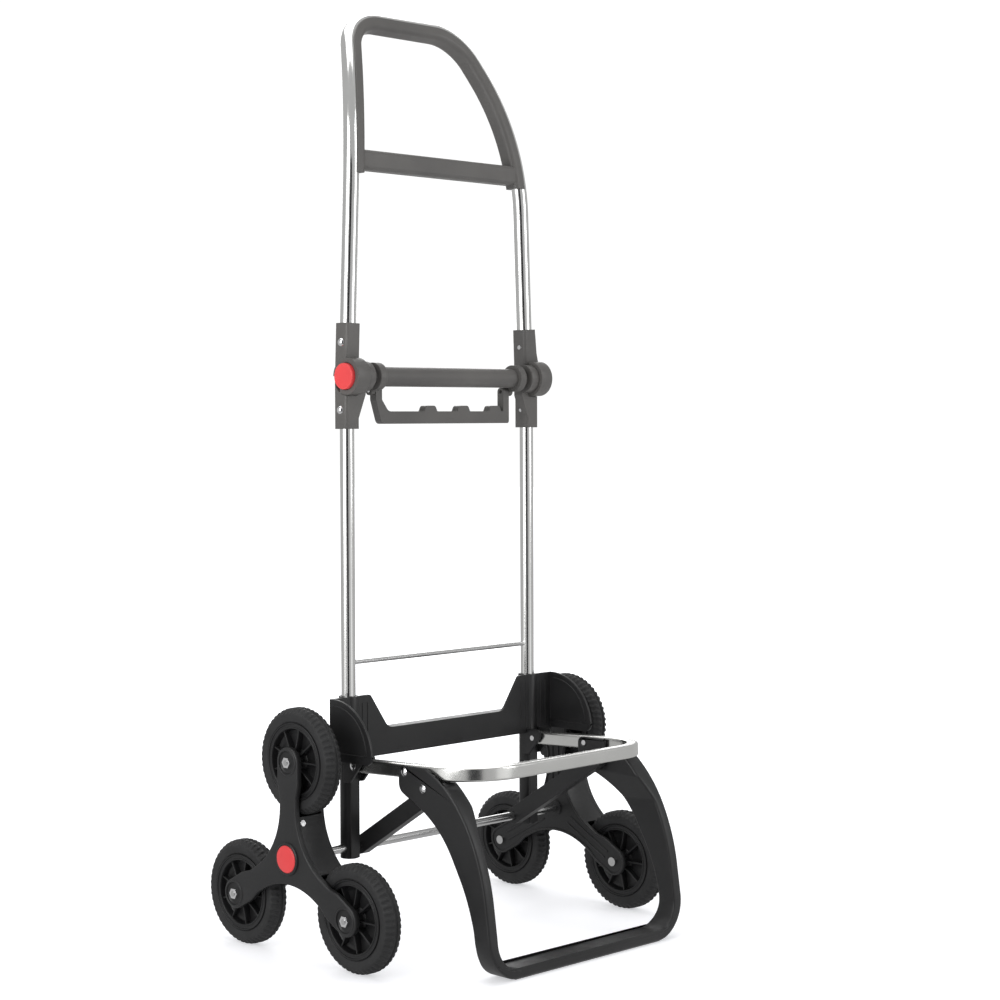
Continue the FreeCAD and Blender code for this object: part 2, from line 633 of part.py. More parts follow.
def comb_grip():
    """Carrying grip: a wide loop with three finger bumps, hung under the crossbar."""
    inner, outer, bottom, shelf = 99.0, 108.7, 579.0, 593.0
    top = v.comb_z + 4.7
    front, back = v.comb_y - 4.75, v.comb_y + 4.75
    corners = [(-outer, top, 0), (-outer, 606, 4), (9 - outer, bottom, 6), (outer, bottom, 3), (outer, top, 0),
               (inner, top, 0), (inner, shelf, 1)]
    for centre in (85, 32, -22):
        corners += [(centre + 10.5, shelf, 1.5), (centre + 7.5, shelf + 6.5, 4.5),
                    (centre - 7.5, shelf + 6.5, 4.5), (centre - 10.5, shelf, 1.5)]
    corners += [(10 - inner, shelf, 8), (-inner, 606, 4), (-inner, top, 0)]
    loop = front_slab(front, back, corners)
    round_top = side_slab(1, -120, 120, (
        (front, bottom - 1, 0), (front, top, 4.7), (back, top, 4.7), (back, bottom - 1, 0)))
    bores = [cross_rod(side, 90, 120, v.comb_y, v.comb_z, "2 + running_fit") for name, side in SIDES]
    keep(cut(common(loop, round_top), *bores), "comb_grip")


# ---------------------------------------------------------------- handle

def handle_point(side, height):
    """Point on the handle tube's straight lower run."""
    return Vector(side * (v.tube_spacing - v.handle_lean * (height - v.hinge_z + 15)), 0.6, height)


def handle_path(start):
    """Path of the handle: up one side, back and inwards, across the top and down again."""
    bend = handle_point(1, 915)
    shoulder = Vector(88, v.handle_back, v.handle_top)
    right = [handle_point(1, start), bend, shoulder]
    left = [Vector(-p.x, p.y, p.z) for p in reversed(right)]
    return bent_wire(right + left, (340, 58, 58, 340))


def handle():
    """Bent handle tube and the plastic grip that lines its inside."""
    path = handle_path(v.handle_start)
    outside = tube_along(path, v.handle_radius)
    inside = tube_along(path, v.handle_radius - v.tube_wall)
    tube = outside.cut(inside)
    holes = [Part.makeCylinder(2.5, 60, Vector(min(side * 120, side * 180), 0, 669), ALONG_X) for name, side in SIDES]
    keep(shaped(tube.cut(holes)), "handle_tube")

    lining_path = handle_path(815)
    curves = rounded_outline(((-14, -10.5, 6), (0, -10.5, 1), (0, 10.5, 1), (-14, 10.5, 6)))
    section = Part.Wire([curve.toShape() for curve in curves])
    section.translate(handle_point(1, 815))
    lining = lining_path.makePipeShell([section], True, False)
    lining = lining.cut(Part.makeBox(400, 60, 57, Vector(-200, -30, 800)))
    rest = 117.0
    bar = Part.makeBox(2 * rest + 14, 19, 22.5, Vector(-rest - 7, -5.5, 860.8))
    bar = bar.makeFillet(5, [edge for edge in bar.Edges if abs(edge.tangentAt(edge.FirstParameter).x) > 0.9])
    grip = lining.fuse(bar).cut(outside).removeSplitter()
    keep(shaped(max(grip.Solids, key=lambda solid: solid.Volume)), "handle_grip")


# ---------------------------------------------------------------- platform, leg and struts

def rounded_bar_section(thick, tall, corner):
    """Rounded rectangle in the YZ plane of a bar that runs along X."""
    curves = rounded_outline(((-thick / 2, -tall / 2, corner), (thick / 2, -tall / 2, corner),
                              (thick / 2, tall / 2, corner), (-thick / 2, tall / 2, corner)))
    return Part.Wire([curve.toShape() for curve in curves])


def platform():
    """U-shaped platform bar on two pivots, drawn level from its pivot and then tilted up a little."""
    spacing, reach, bend = v.platform_spacing, v.platform_reach, v.platform_bend
    path = bent_wire([Vector(spacing, 0, 0), Vector(spacing, -reach, 0), Vector(-spacing, -reach, 0),
                      Vector(-spacing, 0, 0)], (bend, bend))
    section = rounded_bar_section(v.platform_thick, v.platform_tall, 2.5)
    section.rotate(Vector(), ALONG_X, 90)
    section.translate(Vector(spacing, 0, 0))
    bar = path.makePipeShell([section], True, False)
    low = spacing - v.platform_thick / 2
    ends = []
    holes = []
    arm_to_leg = math.hypot(v.leg_pivot_y - v.pivot_y, v.leg_pivot_z - v.pivot_z)
    for name, side in SIDES:
        left, right = across(side, low, low + v.platform_thick)
        ends.append(Part.makeCylinder(v.platform_tall / 2, right - left, Vector(left, 0, 0), ALONG_X))
        for y in (0, -arm_to_leg):
            start = Vector(left - 1, y, 0)
            holes.append(Part.makeCylinder(v.pin_radius + v.running_fit, right - left + 2, start, ALONG_X))
    piece = shaped(bar.fuse(ends).cut(holes).removeSplitter())
    tilt = Rotation(ALONG_X, -v.platform_tilt)
    keep(piece, "platform_bar", Placement(Vector(0, v.pivot_y, v.pivot_z), tilt))


def leg_loop():
    """Leg loop: the side profile of a bowed leg, hollowed to a U, with a clevis around each platform arm."""
    y, z = v.leg_pivot_y, v.leg_pivot_z
    reach, half = v.leg_reach, v.leg_half
    profile = side_slab(1, -half, half, (
        (y + 9, z + 6.5, 7), (y - 32, z + 7.5, 5), (y - 56, z - 4, 105), (-187, 170, 150), (-213, 115, 220),
        (-reach, 30, 330), (-reach, 0, 5),
        (-reach + 31, 0, 5), (-203, 40, 85), (-188, 88, 190), (-150, 155, 120), (y + 9, 187, 12)))
    inner = half - v.leg_blade
    upper = 260
    hollow = front_slab(-300, 0, (
        (-inner, 12, 30), (inner, 12, 30), (inner, 150, 14), (134.5, 178, 8), (134.5, upper, 0),
        (-134.5, upper, 0), (-134.5, 178, 8), (-inner, 150, 14)))
    hull = front_slab(-300, 0, ((-half, 0, 47), (half, 0, 47), (half, upper, 0), (-half, upper, 0)))
    arm_room = v.platform_tall / 2 + 0.9
    folded = math.radians(-90 - v.platform_tilt - 6)
    along = Vector(math.cos(folded), math.sin(folded), 0)
    edge = Vector(y, z, 0) + Vector(along.y, -along.x, 0) * arm_room
    crook, low_end = edge + along * 9.3, edge + along * 90
    tools = [hollow]
    for name, side in SIDES:
        tools.append(side_slab(side, 138.2, 153.8, (
            (y - 80, z - arm_room + 3.5, 0), (crook.x, crook.y, 0), (low_end.x, low_end.y, 0),
            (-60, low_end.y, 0), (-60, upper, 0), (y - 80, upper, 0))))
        tools.append(side_slab(side, 120, 153.8, (
            (y - 80, z - arm_room + 3.5, 0), (y - 32, z - arm_room + 1.4, 0), (y - 32, upper, 0), (y - 80, upper, 0))))
        tools.append(cross_rod(side, 130, 165, y, z, "pin_radius"))
        tools.append(cross_rod(side, 130, 165, v.link_y, v.link_z, "pin_radius"))
    keep(cut(common(profile, hull), *tools), "leg_loop")
    spots = [(side, 134.5, half, pin_y, pin_z) for name, side in SIDES
             for pin_y, pin_z in ((y, z), (v.link_y, v.link_z))]
    keep(domed_rivets(spots, v.pin_radius, 4.6, 1.6), "leg_pins")


def strut(side_name, side):
    """Flat bar from the axle to the leg, with round ends."""
    run = Vector(0, v.link_y, v.link_z - hub_z)
    length = run.Length
    half = v.strut_tall / 2
    bar = side_slab(side, 120, 132, (
        (-half, -half, half - 0.01), (length + half, -half, half - 0.01),
        (length + half, half, half - 0.01), (-half, half, half - 0.01)))
    axle_bore = cross_rod(side, 110, 140, 0, 0, "axle_radius + running_fit")
    link_bore = cross_rod(side, 110, 140, length, 0, "pin_radius + 0.4")
    rise = math.degrees(math.atan2(run.z, run.y))
    keep(cut(bar, axle_bore, link_bore), f"strut_{side_name}", Placement(Vector(0, 0, hub_z), Rotation(ALONG_X, rise)))


def platform_pins():
    """Pins of the platform pivots, through the cheeks of the feet."""
    spots = [(side, 134.8, 157.2, v.pivot_y, v.pivot_z) for name, side in SIDES]
    keep(domed_rivets(spots, v.pin_radius, 4.6, 1.6), "platform_pins")


# ---------------------------------------------------------------- assembly

base_bracket()
rods()
crossbar()
comb_grip()
handle()
platform()
leg_loop()
platform_pins()
sleeve_rivets()
for side_word, side_sign in SIDES:
    foot(side_word, side_sign)
    lower_tube(side_word, side_sign)
    fold_joint(side_word, side_sign)
    strut(side_word, side_sign)
    tri_star(side_word, side_sign)
doc.recompute()

for item in doc.Objects:
    if "Invalid" in item.State or "Error" in item.State:
        raise RuntimeError(f"{item.Label} ({item.TypeId}) did not compute: {item.State}")
os.makedirs("parts", exist_ok=True)
for piece in pieces:
    shape = piece.Shape
    if shape.isNull() or not shape.isValid() or not shape.Solids:
        raise RuntimeError(f"{piece.Label} has no valid solid")
    shape.exportStep(f"parts/{piece.Label}.step")
print(len(pieces), "pieces written")
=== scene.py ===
import json
import math

import bmesh
import bpy
import numpy as np
from mathutils import Matrix, Vector


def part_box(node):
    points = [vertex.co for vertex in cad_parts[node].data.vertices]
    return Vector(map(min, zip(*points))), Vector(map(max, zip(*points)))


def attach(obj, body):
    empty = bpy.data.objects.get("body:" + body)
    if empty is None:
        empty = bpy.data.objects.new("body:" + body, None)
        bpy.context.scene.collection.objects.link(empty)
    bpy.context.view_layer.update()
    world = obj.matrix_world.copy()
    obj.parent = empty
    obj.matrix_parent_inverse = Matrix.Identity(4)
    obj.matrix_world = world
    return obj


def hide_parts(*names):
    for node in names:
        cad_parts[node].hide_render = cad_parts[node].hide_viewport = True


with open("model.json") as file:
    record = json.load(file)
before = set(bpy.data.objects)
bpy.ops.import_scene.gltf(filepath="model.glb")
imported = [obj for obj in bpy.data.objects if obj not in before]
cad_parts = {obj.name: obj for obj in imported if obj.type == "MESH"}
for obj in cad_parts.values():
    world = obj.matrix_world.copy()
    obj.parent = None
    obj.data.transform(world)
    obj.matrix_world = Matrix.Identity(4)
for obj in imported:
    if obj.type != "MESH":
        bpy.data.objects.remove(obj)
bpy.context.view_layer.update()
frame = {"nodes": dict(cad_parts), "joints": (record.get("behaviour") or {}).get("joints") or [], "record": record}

MM = 0.001
SIDES = (("left", -1.0), ("right", 1.0))
WHEELS = ("upper", "rear", "front")
JOINTS = {joint["name"]: joint for joint in frame["joints"]}
AXLE = np.array(JOINTS["tristar_right_turn"]["pos_m"])
AXLE_Y = AXLE[1]
HUB_Z = AXLE[2]


# ---------------------------------------------------------------- materials

def new_material(name, colour, roughness, metallic=0.0, specular=0.5):
    """Principled material with its plain values set on the shader's own sockets."""
    material = bpy.data.materials.new(name)
    material.use_nodes = True
    shader = material.node_tree.nodes["Principled BSDF"]
    shader.inputs["Base Color"].default_value = (*colour, 1.0)
    shader.inputs["Roughness"].default_value = roughness
    shader.inputs["Metallic"].default_value = metallic
    shader.inputs["Specular IOR Level"].default_value = specular
    return material, material.node_tree, shader


def object_noise(tree, scale, detail=3.0, stretch=(1.0, 1.0, 1.0)):
    """Noise on Object coordinates; stretch divides its frequency along an axis."""
    place = tree.nodes.new("ShaderNodeTexCoord")
    mapping = tree.nodes.new("ShaderNodeMapping")
    mapping.inputs["Scale"].default_value = stretch
    noise = tree.nodes.new("ShaderNodeTexNoise")
    noise.inputs["Scale"].default_value = scale
    noise.inputs["Detail"].default_value = detail
    tree.links.new(place.outputs["Object"], mapping.inputs["Vector"])
    tree.links.new(mapping.outputs["Vector"], noise.inputs["Vector"])
    return noise.outputs["Fac"]


def map_range(tree, value, from_range, to_range):
    """Maps a value from one range to another."""
    node = tree.nodes.new("ShaderNodeMapRange")
    node.inputs["From Min"].default_value, node.inputs["From Max"].default_value = from_range
    node.inputs["To Min"].default_value, node.inputs["To Max"].default_value = to_range
    tree.links.new(value, node.inputs["Value"])
    return node.outputs["Result"]


def spread(tree, value, low, high):
    """Maps a noise value between 0.3 and 0.7 to a range."""
    return map_range(tree, value, (0.3, 0.7), (low, high))


def blend_colours(tree, factor, first, second):
    """Colour between two colours, by a factor."""
    mix = tree.nodes.new("ShaderNodeMix")
    mix.data_type = "RGBA"
    mix.inputs["A"].default_value = (*first, 1.0)
    mix.inputs["B"].default_value = (*second, 1.0)
    tree.links.new(factor, mix.inputs["Factor"])
    return mix.outputs["Result"]


def bump_and_round(tree, shader, height, strength, distance, edge):
    """Fine relief on the surface, over edges softened by a small radius."""
    bump = tree.nodes.new("ShaderNodeBump")
    bump.inputs["Strength"].default_value = strength
    bump.inputs["Distance"].default_value = distance
    tree.links.new(height, bump.inputs["Height"])
    if edge:
        soft = tree.nodes.new("ShaderNodeBevel")
        soft.samples = 6
        soft.inputs["Radius"].default_value = edge
        tree.links.new(soft.outputs["Normal"], bump.inputs["Normal"])
    tree.links.new(bump.outputs["Normal"], shader.inputs["Normal"])


def moulded_plastic(name, colour, lighter, roughness, grain, edge):
    """Moulded plastic: fine grain, slow change of tone and gloss, softly rounded edges."""
    material, tree, shader = new_material(name, colour, roughness, specular=0.42)
    tone = spread(tree, object_noise(tree, 14.0, 4.0), 0.0, 1.0)
    tree.links.new(blend_colours(tree, tone, colour, lighter), shader.inputs["Base Color"])
    gloss = spread(tree, object_noise(tree, 60.0, 5.0), roughness - 0.05, roughness + 0.07)
    tree.links.new(gloss, shader.inputs["Roughness"])
    bump_and_round(tree, shader, object_noise(tree, 1600.0, 2.0), grain, 0.0002, edge)
    return material


def drawn_metal(name, colour, roughness, along, grain, edge=0.0):
    """Metal with fine lines drawn along an axis, and faint clouds of tone."""
    material, tree, shader = new_material(name, colour, roughness, metallic=1.0)
    stretch = [1.0 if axis != along else 0.02 for axis in "XYZ"]
    lines = object_noise(tree, 2600.0, 2.0, stretch)
    gloss = spread(tree, lines, roughness * 0.88, roughness * 1.15)
    tree.links.new(gloss, shader.inputs["Roughness"])
    darker = tuple(0.95 * value for value in colour)
    cloud = spread(tree, object_noise(tree, 25.0, 3.0), 0.0, 1.0)
    tree.links.new(blend_colours(tree, cloud, colour, darker), shader.inputs["Base Color"])
    bump_and_round(tree, shader, lines, grain, 0.00005, edge)
    return material


def tyre_rubber():
    """Rubber: matt, with dusty lighter patches and a fine rough skin."""
    base, dusty = (0.013, 0.013, 0.0135), (0.022, 0.022, 0.0225)
    material, tree, shader = new_material("tyre rubber", base, 0.62, specular=0.35)
    dust = spread(tree, object_noise(tree, 35.0, 6.0), 0.0, 1.0)
    tree.links.new(blend_colours(tree, dust, base, dusty), shader.inputs["Base Color"])
    gloss = spread(tree, object_noise(tree, 90.0, 5.0), 0.55, 0.72)
    tree.links.new(gloss, shader.inputs["Roughness"])
    bump_and_round(tree, shader, object_noise(tree, 1100.0, 3.0), 0.25, 0.0003, 0.0)
    return material


BLACK = moulded_plastic("black moulded plastic", (0.010, 0.010, 0.0105), (0.015, 0.015, 0.0155),
                        0.40, 0.25, 0.0009)
WHEEL_BLACK = moulded_plastic("wheel plastic", (0.007, 0.007, 0.0075), (0.011, 0.011, 0.0115),
                              0.36, 0.2, 0.0006)
GREY = moulded_plastic("grey moulded plastic", (0.072, 0.069, 0.066), (0.090, 0.086, 0.081),
                       0.44, 0.3, 0.0011)
RED = moulded_plastic("red plastic", (0.60, 0.040, 0.043), (0.66, 0.052, 0.053), 0.36, 0.12, 0.0010)
ALUMINIUM = drawn_metal("polished aluminium tube", (0.80, 0.80, 0.79), 0.13, "Z", 0.05)
PLATFORM_METAL = drawn_metal("satin aluminium bar", (0.78, 0.78, 0.76), 0.22, "X", 0.04, 0.0006)
STEEL = drawn_metal("drawn steel", (0.66, 0.66, 0.66), 0.22, "X", 0.05)
CHROME = drawn_metal("chromed fastener", (0.86, 0.86, 0.87), 0.10, "X", 0.05, 0.0003)
RUBBER = tyre_rubber()

FINISHES = {
    "tyre_rubber": RUBBER, "black_plastic": BLACK, "grey_plastic": GREY, "red_plastic": RED,
    "aluminium_tube": ALUMINIUM, "bright_steel": STEEL, "chrome_fastener": CHROME,
}


def paint(piece, material):
    """Gives a mesh one material."""
    piece.data.materials.clear()
    piece.data.materials.append(material)


def paint_frame():
    """Gives every node of the frame the finish of its slot."""
    for entry in frame["record"]["subparts"]:
        name = entry["node"]
        material = FINISHES[entry["material_slot"]]
        if name.startswith("rim"):
            material = WHEEL_BLACK
        if name == "platform_bar":
            material = PLATFORM_METAL
        paint(frame["nodes"][name], material)


# ---------------------------------------------------------------- mesh helpers

def mesh_piece(name, vertices, faces, material, body, crease=40):
    """Piece from points and faces, riding on a body; edges sharper than crease degrees stay crisp."""
    mesh = bpy.data.meshes.new(name)
    mesh.from_pydata(np.asarray(vertices).tolist(), [], [list(map(int, face)) for face in faces])
    shell = bmesh.new()
    shell.from_mesh(mesh)
    bmesh.ops.remove_doubles(shell, verts=shell.verts, dist=1e-6)
    bmesh.ops.recalc_face_normals(shell, faces=shell.faces)
    shell.to_mesh(mesh)
    shell.free()
    mesh.shade_smooth()
    mesh.set_sharp_from_angle(angle=math.radians(crease))
    piece = bpy.data.objects.new(name, mesh)
    bpy.context.scene.collection.objects.link(piece)
    paint(piece, material)
    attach(piece, body)
    return piece


def grid_faces(rows, columns, wrap_rows=False, wrap_columns=False):
    """Quads of a grid of points, row by row, joined up at the ends where it wraps."""
    row = np.arange(rows if wrap_rows else rows - 1)
    column = np.arange(columns if wrap_columns else columns - 1)
    i, j = np.meshgrid(row, column, indexing="ij")
    next_i, next_j = (i + 1) % rows, (j + 1) % columns
    quads = [i * columns + j, next_i * columns + j, next_i * columns + next_j, i * columns + next_j]
    return np.stack(quads, axis=-1).reshape(-1, 4)


def corner_arc(before, corner, after, radius, fine=2.5 * MM):
    """Points of the arc that turns a corner and meets both runs at a tangent."""
    back = (before - corner) / np.linalg.norm(before - corner)
    ahead = (after - corner) / np.linalg.norm(after - corner)
    half = math.acos(np.clip(back @ ahead, -1, 1)) / 2
    centre = corner + (back + ahead) / np.linalg.norm(back + ahead) * radius / math.sin(half)
    start, finish = corner + back * radius / math.tan(half), corner + ahead * radius / math.tan(half)
    first = math.atan2(*(start - centre)[::-1])
    turn = (math.atan2(*(finish - centre)[::-1]) - first + math.pi) % (2 * math.pi) - math.pi
    steps = int(max(3, abs(turn) / math.radians(11), abs(turn) * radius / fine))
    angles = first + turn * np.linspace(0, 1, steps + 1)
    return centre + radius * np.stack([np.cos(angles), np.sin(angles)], axis=1)


def rounded_profile(corners, closed=False):
    """Profile through corners (a, b, radius): open from first to last, or closed round all of them."""
    points = np.array([corner[:2] for corner in corners], dtype=float)
    count = len(corners)
    result = [] if closed else [points[0]]
    for index in range(0 if closed else 1, count if closed else count - 1):
        corner, radius = points[index], corners[index][2]
        if radius:
            result.extend(corner_arc(points[index - 1], corner, points[(index + 1) % count], radius))
        else:
            result.append(corner)
    if not closed:
        result.append(points[-1])
    result = np.array(result)
    apart = np.linalg.norm(result - np.roll(result, 1, axis=0), axis=1) > 0.02 * MM
    return result[apart]


def in_metres(corners):
    """Corners (a, b, radius) given in millimetres, in metres."""
    return [(a * MM, b * MM, radius * MM) for a, b, radius in corners]


def turned_piece(name, profile, centre, material, body, around=96, relief=None):
    """Closed profile (x, radius) turned about the X axis through a centre.

    The point at angle a is (x, r cos a, r sin a); relief(x, r, a) is added to r.
    """
    angle = np.linspace(0, 2 * np.pi, around, endpoint=False)[:, None]
    x, r = profile[:, 0][None, :], profile[:, 1][None, :]
    radius = r + (relief(x, r, angle) if relief else 0)
    points = np.stack([x + 0 * angle, radius * np.cos(angle), radius * np.sin(angle)], axis=-1)
    vertices = points.reshape(-1, 3) + np.asarray(centre)
    return mesh_piece(name, vertices, grid_faces(around, profile.shape[0], True, True), material, body)


def bead(name, path, radius, material, body, closed=False, sides=10):
    """Round bead of a radius along a path of points; an open bead ends in small flat faces.

    Each ring lies in the plane of two vectors across the path: one is kept as level as the path lets it.
    """
    path = np.asarray(path, dtype=float)
    if closed:
        ahead = np.roll(path, -1, axis=0) - np.roll(path, 1, axis=0)
    else:
        ahead = np.gradient(path, axis=0)
    ahead /= np.linalg.norm(ahead, axis=1)[:, None]
    spine = np.array([1.0, 0, 0]) if np.abs(ahead[:, 0]).max() < 0.9 else np.array([0, 0.6, 0.8])
    first = np.cross(ahead, spine)
    first /= np.linalg.norm(first, axis=1)[:, None]
    second = np.cross(ahead, first)
    angle = np.linspace(0, 2 * np.pi, sides, endpoint=False)
    ring = first[:, None] * np.cos(angle)[None, :, None] + second[:, None] * np.sin(angle)[None, :, None]
    vertices = (path[:, None] + radius * ring).reshape(-1, 3)
    faces = grid_faces(len(path), sides, closed, True).tolist()
    if not closed:
        last = (len(path) - 1) * sides
        faces += [list(range(sides)), list(range(last, last + sides))]
    return mesh_piece(name, vertices, faces, material, body)


def soft_slab(outlines, low, high, edge, rings=4):
    """Points and faces of a slab along X whose outline and holes, in Y and Z, have rounded edges."""
    curve = bpy.data.curves.new("outline", "CURVE")
    curve.dimensions = "2D"
    curve.fill_mode = "BOTH"
    curve.extrude = (high - low) / 2 - edge
    curve.bevel_depth = edge
    curve.bevel_resolution = rings
    curve.offset = -edge
    for outline in outlines:
        spline = curve.splines.new("POLY")
        spline.points.add(len(outline) - 1)
        flat_points = np.pad(outline, ((0, 0), (0, 2)))
        flat_points[:, 3] = 1
        spline.points.foreach_set("co", flat_points.ravel())
        spline.use_cyclic_u = True
    holder = bpy.data.objects.new("outline", curve)
    mesh = bpy.data.meshes.new_from_object(holder)
    flat = np.empty(3 * len(mesh.vertices))
    mesh.vertices.foreach_get("co", flat)
    flat = flat.reshape(-1, 3)
    faces = [list(polygon.vertices) for polygon in mesh.polygons]
    bpy.data.objects.remove(holder)
    bpy.data.curves.remove(curve)
    bpy.data.meshes.remove(mesh)
    return np.stack([flat[:, 2] + (low + high) / 2, flat[:, 0], flat[:, 1]], axis=1), faces


def soften(node, width, segments=3, clamp=True):
    """Rounds the sharp edges of a CAD node.

    Its triangles are joined, its flat faces are merged, and its corners are bevelled.
    """
    piece = frame["nodes"][node]
    weld = piece.modifiers.new("weld", "WELD")
    weld.merge_threshold = 0.002 * MM
    merge = piece.modifiers.new("merge", "DECIMATE")
    merge.decimate_type = "DISSOLVE"
    merge.angle_limit = math.radians(0.6)
    bevel = piece.modifiers.new("bevel", "BEVEL")
    bevel.width = width
    bevel.segments = segments
    bevel.limit_method = "ANGLE"
    bevel.angle_limit = math.radians(38)
    bevel.use_clamp_overlap = clamp
    bevel.harden_normals = True


# ---------------------------------------------------------------- wheels

tyre_low, tyre_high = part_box("tyre_upper_left")
rim_low, rim_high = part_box("rim_upper_left")
WHEEL_RADIUS = (tyre_high[2] - tyre_low[2]) / 2
TYRE_HALF = (tyre_high[0] - tyre_low[0]) / 2
RIM_RADIUS = (rim_high[2] - rim_low[2]) / 2


def in_short_steps(profile, step):
    """Profile with each of its runs cut into steps about as long as a given step."""
    fine = [profile[0]]
    for point in profile[1:]:
        start = fine[-1]
        count = max(1, int(np.linalg.norm(point - start) / step))
        fine.extend(start + (point - start) * number / count for number in range(1, count + 1))
    return np.array(fine)


def tyre(side_name, wheel):
    """Tyre with a dark groove round its middle and a row of short ribs on each shoulder."""
    centre = np.array(JOINTS[f"wheel_{wheel}_{side_name}_roll"]["pos_m"])
    lip, seat, ribs = 0.9 * MM, RIM_RADIUS + 0.5 * MM, 52
    right = rounded_profile([
        (TYRE_HALF - 2.2 * MM, RIM_RADIUS, 0), (TYRE_HALF - 2.2 * MM, RIM_RADIUS + 0.2 * MM, 0),
        (TYRE_HALF - lip, seat + 1.2 * MM, 0.8 * MM), (TYRE_HALF, seat + 6.0 * MM, 2.5 * MM),
        (TYRE_HALF, WHEEL_RADIUS - 5.5 * MM, 5.0 * MM), (TYRE_HALF - 5.5 * MM, WHEEL_RADIUS, 5.0 * MM),
        (2.2 * MM, WHEEL_RADIUS, 0.6 * MM), (1.2 * MM, WHEEL_RADIUS - 1.6 * MM, 0.6 * MM),
        (0.0, WHEEL_RADIUS - 1.6 * MM, 0)])
    left = right[-2::-1] * np.array([-1, 1])
    profile = in_short_steps(np.concatenate([right, left]), 1.3 * MM)

    def shoulder_ribs(x, r, angle):
        past_groove = np.clip((np.abs(x) - 3.0 * MM) / (1.2 * MM), 0, 1)
        before_wall = np.clip((TYRE_HALF + 0.3 * MM - np.abs(x)) / (2.5 * MM), 0, 1)
        outer = np.clip((r - WHEEL_RADIUS + 7.5 * MM) / (2.5 * MM), 0, 1)
        wave = np.clip(0.5 + 1.6 * np.cos(ribs * angle + np.where(x > 0, 0, np.pi)), 0, 1)
        return -1.7 * MM * (past_groove * before_wall) * outer * (1 - wave)

    name = f"tyre_{wheel}_{side_name}_treaded"
    piece = turned_piece(name, profile, centre, RUBBER, f"wheel_{wheel}_{side_name}",
                         around=ribs * 8, relief=shoulder_ribs)
    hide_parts(f"tyre_{wheel}_{side_name}")


def rim_ribs(name, centre, body):
    """Thin ribs on both faces of a rim: a rounded section, in x and across, carried out from the hub."""
    count, low = 9, 1.6 * MM
    section = np.array([(-1.4, 0), (-1.05, 0.86), (-0.75, 0.97), (0, 1.0), (0.75, 0.97), (1.05, 0.86),
                        (1.4, 0)])
    reach = np.array([10.4, 13.0, 18.0, 26.0, 33.0, 35.9]) * MM
    height = np.array([11.6, 11.3, 9.9, 9.2, 9.0, 9.1]) * MM
    raised = low + (height[:, None] - low) * section[:, 1]
    one = np.stack(np.broadcast_arrays(raised, reach[:, None], section[:, 0] * MM), axis=-1).reshape(-1, 3)
    x, outward, across = one.T
    angle = 2 * np.pi * (np.arange(count)[:, None] + 0.5) / count
    turned = np.stack([np.broadcast_to(x, (count, len(one))),
                       outward * np.cos(angle) - across * np.sin(angle),
                       outward * np.sin(angle) + across * np.cos(angle)], axis=-1)
    vertices = np.concatenate([turned, turned * np.array([-1, 1, 1])]).reshape(-1, 3)
    rows, columns = len(reach), len(section)
    sides = grid_faces(rows, columns, False, True)
    ends = np.array([np.arange(columns), (rows - 1) * columns + np.arange(columns)])
    starts = len(one) * np.arange(2 * count)[:, None, None]
    faces = (sides + starts).reshape(-1, 4).tolist() + (ends + starts).reshape(-1, columns).tolist()
    mesh_piece(name, vertices + centre, faces, WHEEL_BLACK, body)


def rim(side_name, wheel):
    """Deep rim: two rings, a sunk web and nine thin ribs on each side that run down to the hub."""
    centre = np.array(JOINTS[f"wheel_{wheel}_{side_name}_roll"]["pos_m"])
    body = f"wheel_{wheel}_{side_name}"
    bore = 4.08
    right = rounded_profile(in_metres([
        (10.6, 42.0, 0), (11.3, 41.6, 0.5), (11.2, 40.6, 0.4), (10.1, 40.2, 0.4), (10.0, 37.6, 0.5),
        (10.9, 37.2, 0.5), (10.9, 35.9, 0.6), (9.4, 35.3, 0.8), (3.2, 34.0, 1.5), (2.0, 30.0, 2.0),
        (2.0, 13.5, 2.0), (4.0, 11.8, 1.5), (13.2, 11.0, 0.6), (14.0, 9.8, 0.5), (14.0, bore, 0)]))
    left = right[::-1] * np.array([-1, 1])
    dish = turned_piece(f"rim_{wheel}_{side_name}_dish", np.concatenate([right, left]), centre, WHEEL_BLACK,
                        body, around=108)
    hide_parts(f"rim_{wheel}_{side_name}")
    rim_ribs(f"rim_{wheel}_{side_name}_ribs", centre, body)


ORBIT, ARM_HALF, ARM_END, WEB = 104.3 * MM, 12.8 * MM, 16.3 * MM, 85.4 * MM
FORK_INNER, FORK_OUTER = 197.0 * MM, 238.0 * MM
ARM_TURNS = [math.radians(degrees) for degrees in (90, 210, 330)]


def star_outline(grow=0.0):
    """Outline of a tri-star in Y and Z about its hub: three arms with round ends and wide round hollows."""
    shoulder, tip = ORBIT - 24 * MM, ORBIT + ARM_END + grow
    waist, valley = shoulder - 13 * MM, (ARM_HALF + grow) / math.tan(math.radians(60))
    half, end = ARM_HALF + grow, ARM_END + grow
    corners = []
    for turn in ARM_TURNS:
        ahead = np.array([math.cos(turn), math.sin(turn)])
        left = np.array([-ahead[1], ahead[0]])
        for a, b, radius in ((valley, -half, WEB - grow), (waist, -half, 12 * MM), (shoulder, -end, 12 * MM),
                             (tip, -end, end - 0.01 * MM), (tip, end, end - 0.01 * MM),
                             (shoulder, end, 12 * MM), (waist, half, 12 * MM)):
            corners.append((*(a * ahead + b * left), radius))
    return rounded_profile(corners, closed=True)


def ring_points(radius, count, y=0.0, z=0.0):
    """Points of a circle in Y and Z."""
    angle = np.linspace(0, 2 * np.pi, count, endpoint=False)
    return np.stack([y + radius * np.cos(angle), z + radius * np.sin(angle)], axis=1)


